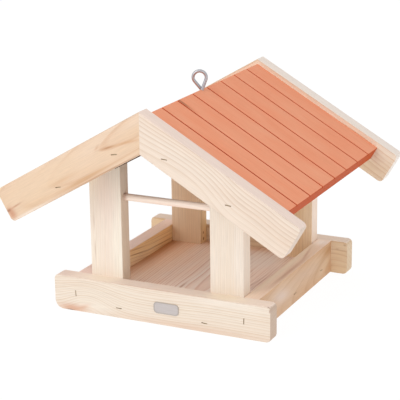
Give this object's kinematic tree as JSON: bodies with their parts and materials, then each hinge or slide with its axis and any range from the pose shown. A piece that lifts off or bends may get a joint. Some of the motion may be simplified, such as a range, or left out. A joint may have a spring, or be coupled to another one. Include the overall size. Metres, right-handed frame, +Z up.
{
  "type": "bird table",
  "caption": "Hanging wooden bird table: a board tray with posts under a pitched roof of grooved, stained panels, a perch dowel and a screw eye at the ridge.",
  "frame": {"origin": "middle of the tray's underside, under the middle of the roof", "axes": "+X along the front rail to the right seen from the front gable, +Y from the front gable to the rear, +Z up"},
  "size_m": [0.359, 0.328, 0.2635],
  "materials": {
    "planed_pine": "planed, bare",
    "stained_pine": "orange-red wood stain",
    "zinc_plated_steel": "bright zinc plating",
    "plate_aluminium": "satin"
  },
  "bodies": {
    "root": {"front_rail": "planed_pine", "rear_rail": "planed_pine", "left_rail": "planed_pine", "right_rail": "planed_pine", "floor_board": "planed_pine", "post_front_left": "planed_pine", "post_front_right": "planed_pine", "post_rear_left": "planed_pine", "post_rear_right": "planed_pine", "perch_dowel": "planed_pine", "batten_upper_left": "planed_pine", "batten_lower_left": "planed_pine", "batten_upper_right": "planed_pine", "batten_lower_right": "planed_pine", "barge_front_left": "planed_pine", "barge_front_right": "planed_pine", "barge_rear_left": "planed_pine", "barge_rear_right": "planed_pine", "roof_panel_left": "stained_pine", "roof_panel_right": "stained_pine", "eye_screw": "zinc_plated_steel", "front_plate": "plate_aluminium"}
  },
  "joints": []
}
